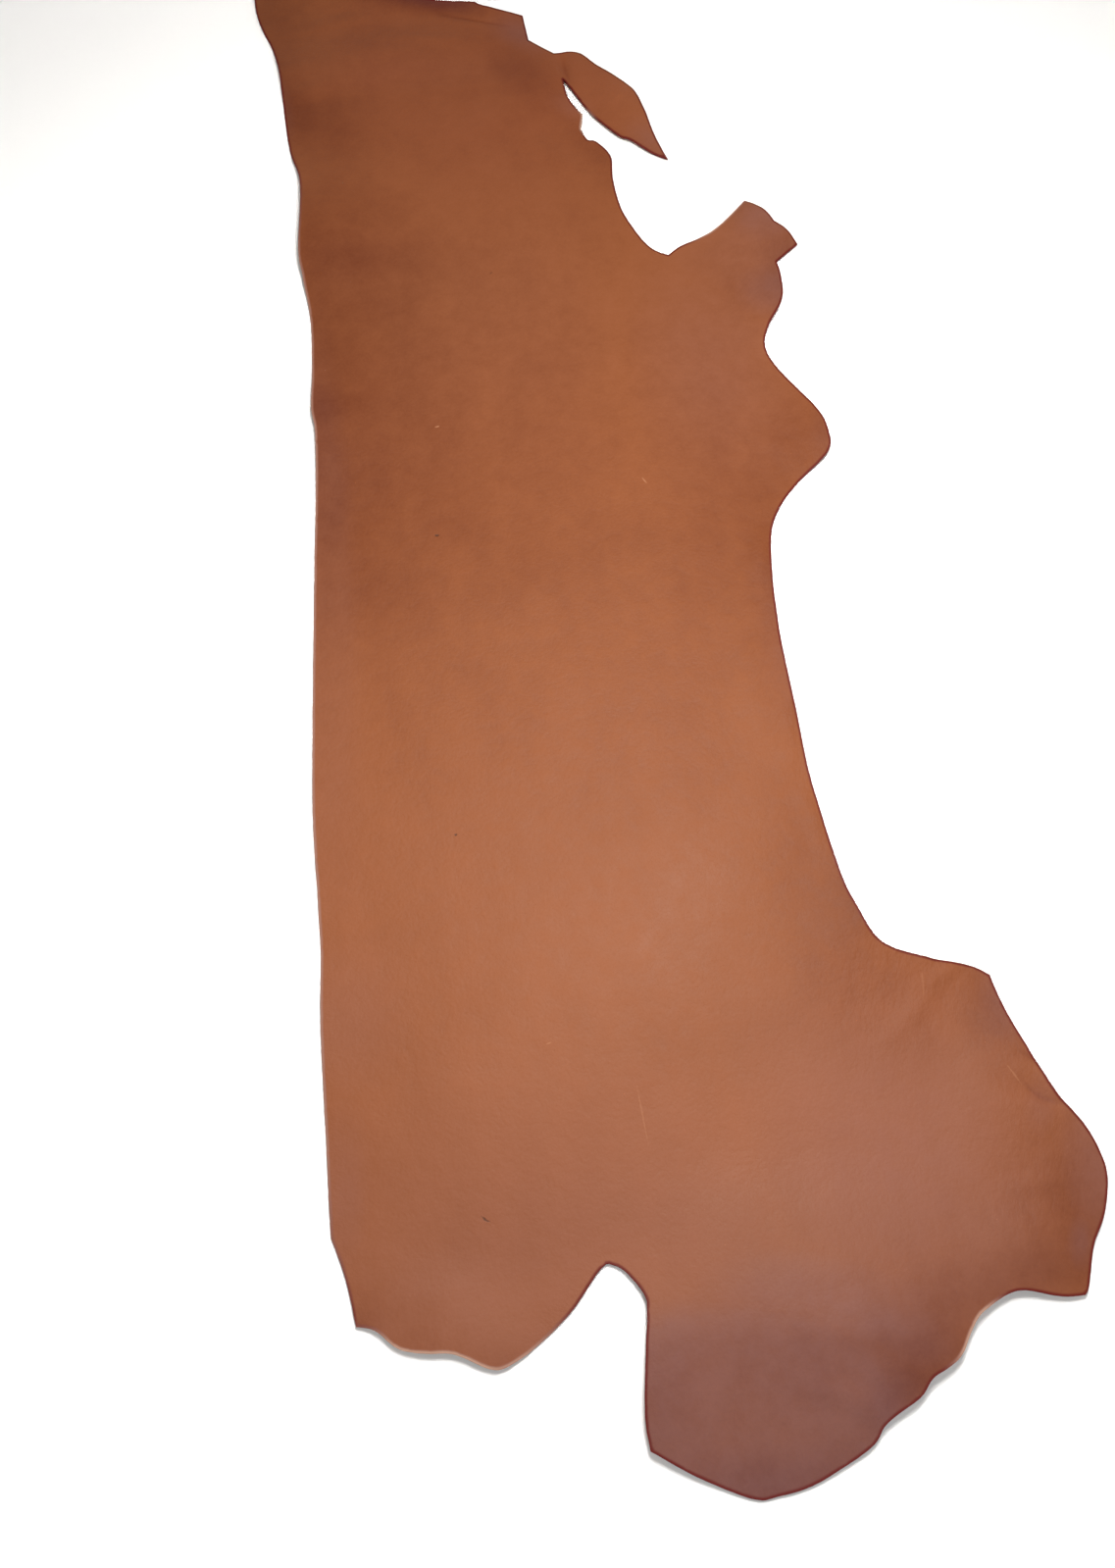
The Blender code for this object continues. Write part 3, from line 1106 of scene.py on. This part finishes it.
def grain_material(finish, middle):
    """Satin vegetable-tanned grain: uneven dye with painted shade and highlight, a painted cool
    sheen, pores, fine wrinkles and small scars.
    """
    shader = Shader("leather_grain")
    # The tone carries painted shade and painted highlight as well as the uneven dye
    tone_and_painted_light = shader.attribute("tone_and_painted_light")
    # A cool sheen painted into the colour, standing in for reflection
    painted_sheen = shader.attribute("painted_sheen")
    loose = shader.attribute("loose")
    creased = shader.attribute("creased")
    rim = shader.fitted(shader.attribute("rim_gap"), *RIM_LINE, 1.0, 0.0)
    lit_rim = shader.maths("MULTIPLY", rim, shader.attribute("lit_edge"))
    mottle = shader.noise(MOTTLE_SIZE, 3.0, 0.6)
    specks = shader.noise(SPECK_SIZE, 2.0, 0.6)
    pores = shader.fitted(shader.cells(PORE_SIZE), 0.0, 0.34, -1.0, 0.0)

    # Uneven dye, with painted shade and painted highlight carried by the tone
    # The creases are darkened in the colour as well: painted shade in the creases
    dye = shader.weighted(
        (tone_and_painted_light, 0.5), (mottle, 0.040), (specks, 0.03), (pores, 0.06), (creased, -0.20)
    )
    ramp = shader.add("ShaderNodeValToRGB")
    stops = ramp.color_ramp.elements
    stops[0].color = (*finish.grain_dark, 1.0)
    stops[1].color = (*finish.grain_light, 1.0)
    stops.new(0.5).color = (*finish.grain, 1.0)
    shader.put(ramp.inputs["Fac"], shader.maths("ADD", dye, 0.5, clamp=True))
    colour = shader.blend(shader.attribute("redder"), ramp.outputs["Color"], finish.red_dye)

    # A cool sheen painted on the grain, standing in for the greyish reflection where the hide
    # slopes away
    sheen_share = shader.maths("MULTIPLY", painted_sheen, shader.fitted(mottle, -0.8, 0.8, 0.8, 1.0))
    colour = shader.blend(sheen_share, colour, finish.painted_sheen)

    # The line along the cut: darker along the edge, and a painted highlight of the pale raw edge
    # where it catches the light
    colour = shader.blend(shader.maths("MULTIPLY", rim, RIM_DARKENING), colour, finish.cut_edge)
    colour = shader.blend(shader.maths("MULTIPLY", lit_rim, RIM_LIT), colour, finish.raw_edge_highlight)

    # Small scars and scratches
    pale, dark = scars_on(shader, middle)
    colour = shader.blend(pale, colour, PALE_SCAR)
    colour = shader.blend(dark, colour, DARK_SCAR)
    shader.set_surface("Base Color", colour)

    # Satin finish, duller where the hide is loose or creased
    polish = shader.attribute("polish")
    dullness = shader.weighted((mottle, 0.04), (loose, 0.06), (creased, 0.10), (polish, -1.0))
    rough = shader.maths("ADD", dullness, finish.roughness, clamp=True)
    shader.set_surface("Roughness", rough)
    shader.set_surface("Specular IOR Level", 0.32)

    # Relief, in metres
    slanted = shader.stretched((1.9, 1.0, 1.0), 1.25)
    wrinkles = shader.noise(WRINKLE_SIZE, 3.0, 0.62, 0.0, slanted)
    broken = shader.maths("MULTIPLY", wrinkles, shader.fitted(loose, 0.1, 1.0, 0.12, 1.0))
    cuts = shader.maths("ADD", pale, dark)
    relief = shader.weighted(
        (mottle, MOTTLE_RISE),
        (broken, FINE_WRINKLE_RISE),
        (pores, finish.pore_depth),
        (specks, 0.8 * finish.pore_depth),
        (cuts, -SCAR_DEPTH),
    )
    shader.set_surface("Normal", shader.bump(relief, 1.0))
    return shader.material


def flesh_material(finish):
    """The flesh side: a short, dull nap with paler and darker drifts."""
    shader = Shader("leather_flesh")
    drift = shader.noise(0.07, 4.0, 0.6, 0.8, shader.stretched((2.6, 1.0, 1.0), 1.45))
    nap = shader.noise(0.0016, 4.0, 0.7)
    dark = tuple(0.62 * part for part in finish.flesh)
    share = shader.fitted(shader.weighted((drift, 0.6), (nap, 0.5)), -0.6, 0.6)
    shader.set_surface("Base Color", shader.blend(share, dark, finish.flesh))
    shader.set_surface("Roughness", 0.92)
    shader.set_surface("Specular IOR Level", 0.2)
    shader.set_surface("Sheen Weight", 0.3)
    shader.set_surface("Sheen Roughness", 0.6)
    relief = shader.bump(drift, 0.0006)
    relief = shader.bump(nap, 0.0004, relief)
    shader.set_surface("Normal", relief)
    return shader.material


def cut_edge_material(finish):
    """The cut edge: fibres in layers, dark with dye, and pale raw fibres laid on where the edge
    catches the light, as a painted highlight.
    """
    shader = Shader("leather_cut_edge")
    layers = shader.noise(0.0009, 3.0, 0.6, 0.0, shader.stretched((6.0, 6.0, 0.5)))
    fibres = shader.noise(0.006, 4.0, 0.65)
    dark = tuple(0.6 * part for part in finish.cut_edge)
    share = shader.fitted(shader.weighted((layers, 0.6), (fibres, 0.6)), -0.6, 0.5)
    dyed = shader.blend(share, dark, finish.cut_edge)
    # Painted highlight: the pale raw edge where the edge catches the light
    lit = shader.maths("MULTIPLY", shader.attribute("lit_edge"), 0.9)
    shader.set_surface("Base Color", shader.blend(lit, dyed, finish.raw_edge_highlight))
    shader.set_surface("Roughness", 0.8)
    shader.set_surface("Specular IOR Level", 0.3)
    relief = shader.bump(layers, 0.0002)
    relief = shader.bump(fibres, 0.0003, relief)
    shader.set_surface("Normal", relief)
    return shader.material


class LEATHER_OT_side(bpy.types.Operator):
    """Lays out the side of leather"""

    bl_idname = "leather.side"
    bl_label = "Leather Side"
    bl_options = {"REGISTER", "UNDO"}

    def execute(self, context):
        sheet = context.scene.leather_sheet
        finish = context.scene.leather_finish
        mesh, middle = flesh_side(sheet)
        side = bpy.data.objects.new("laid_out_hide", mesh)
        context.scene.collection.objects.link(side)
        mesh.materials.append(grain_material(finish, middle))
        mesh.materials.append(flesh_material(finish))
        mesh.materials.append(cut_edge_material(finish))
        mesh.polygons.foreach_set("material_index", [GRAIN] * len(mesh.polygons))
        mesh.shade_smooth()
        thicken = side.modifiers.new("substance", "SOLIDIFY")
        thicken.thickness = sheet.substance
        thicken.offset = 1.0
        thicken.use_even_offset = True
        thicken.material_offset = FLESH
        thicken.material_offset_rim = CUT_EDGE
        worn = side.modifiers.new("worn corners", "BEVEL")
        worn.width = sheet.edge_rounding
        worn.segments = 2
        worn.limit_method = "ANGLE"
        worn.angle_limit = math.radians(50.0)
        worn.harden_normals = True

        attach(side, "root")
        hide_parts(NODE)
        return {"FINISHED"}


def soft_lamp(lamp, power):
    """A rectangular area lamp turned to its target."""
    light = bpy.data.lights.new(lamp.name, "AREA")
    light.shape = "RECTANGLE"
    light.size, light.size_y = lamp.size
    light.energy = power
    light.color = lamp.colour
    stand = bpy.data.objects.new(lamp.name, light)
    stand.location = lamp.place
    beam = Vector(lamp.target) - Vector(lamp.place)
    stand.rotation_euler = beam.to_track_quat("-Z", "Y").to_euler()
    bpy.context.scene.collection.objects.link(stand)
    return stand


def floor_material(colour):
    """Plain matt floor, only just uneven."""
    shader = Shader("studio_floor")
    uneven = shader.fitted(shader.noise(0.5, 3.0), -1.0, 1.0)
    darker = tuple(0.985 * part for part in colour)
    shader.set_surface("Base Color", shader.blend(uneven, darker, colour))
    shader.set_surface("Roughness", 0.9)
    shader.set_surface("Specular IOR Level", 0.2)
    return shader.material


class LEATHER_OT_studio(bpy.types.Operator):
    """Sets the floor, the lamps, the room light and the camera"""

    bl_idname = "leather.studio"
    bl_label = "Studio"
    bl_options = {"REGISTER", "UNDO"}

    def execute(self, context):
        scene = context.scene
        studio = scene.leather_studio
        half = FLOOR_HALF_WIDTH
        corners = [(-half, -half, 0), (half, -half, 0), (half, half, 0), (-half, half, 0)]
        mesh = bpy.data.meshes.new("floor")
        mesh.from_pydata(corners, [], [(0, 1, 2, 3)])
        mesh.materials.append(floor_material(studio.floor))
        floor = bpy.data.objects.new("floor", mesh)
        scene.collection.objects.link(floor)

        lamp = soft_lamp(OVER_THE_HIDE, studio.lamp_power)
        window = soft_lamp(WINDOW, studio.window_power)
        wash = soft_lamp(ON_THE_FLOOR, studio.floor_power)
        floor_only = bpy.data.collections.new("lit by the lamp beyond the neck")
        floor_only.objects.link(floor)
        wash.light_linking.receiver_collection = floor_only
        for light in (lamp, window, wash):
            light.visible_camera = False

        world = bpy.data.worlds.new("room")
        world.use_nodes = True
        room = world.node_tree.nodes["Background"]
        room.inputs["Color"].default_value = ROOM_COLOUR
        room.inputs["Strength"].default_value = studio.room_light
        scene.world = world
        scene.view_settings.view_transform = "Standard"

        data = bpy.data.cameras.new("camera")
        data.sensor_width = SENSOR_WIDTH
        data.lens = LENS_LENGTH
        data.clip_start, data.clip_end = CAMERA_RANGE
        camera = bpy.data.objects.new("camera", data)
        camera.location = (CAMERA_ACROSS, CAMERA_ALONG, studio.eye_height)
        camera.rotation_euler = (LEVEL - studio.down_angle, 0.0, CAMERA_TURN)
        scene.collection.objects.link(camera)
        scene.camera = camera
        return {"FINISHED"}


class LEATHER_PT_panel(bpy.types.Panel):
    """Lists the hide and its studio"""

    bl_idname = "LEATHER_PT_panel"
    bl_label = "Leather Side"
    bl_space_type = "VIEW_3D"
    bl_region_type = "UI"
    bl_category = "Leather"

    def draw(self, context):
        scene = context.scene
        groups = (
            (LEATHER_OT_side, (scene.leather_sheet, scene.leather_finish)),
            (LEATHER_OT_studio, (scene.leather_studio,)),
        )
        for operator, settings in groups:
            box = self.layout.box()
            box.operator(operator.bl_idname)
            for group in settings:
                for name in group.bl_rna.properties.keys():
                    if name not in {"rna_type", "name"}:
                        box.prop(group, name)


CLASSES = (
    LeatherSheet,
    LeatherFinish,
    LeatherStudio,
    LEATHER_OT_side,
    LEATHER_OT_studio,
    LEATHER_PT_panel,
)


def register():
    for one in CLASSES:
        bpy.utils.register_class(one)
    bpy.types.Scene.leather_sheet = PointerProperty(type=LeatherSheet)
    bpy.types.Scene.leather_finish = PointerProperty(type=LeatherFinish)
    bpy.types.Scene.leather_studio = PointerProperty(type=LeatherStudio)


def unregister():
    del bpy.types.Scene.leather_studio
    del bpy.types.Scene.leather_finish
    del bpy.types.Scene.leather_sheet
    for one in reversed(CLASSES):
        bpy.utils.unregister_class(one)


def main():
    register()
    bpy.ops.leather.side()
    bpy.ops.leather.studio()


if __name__ == "__main__":
    main()
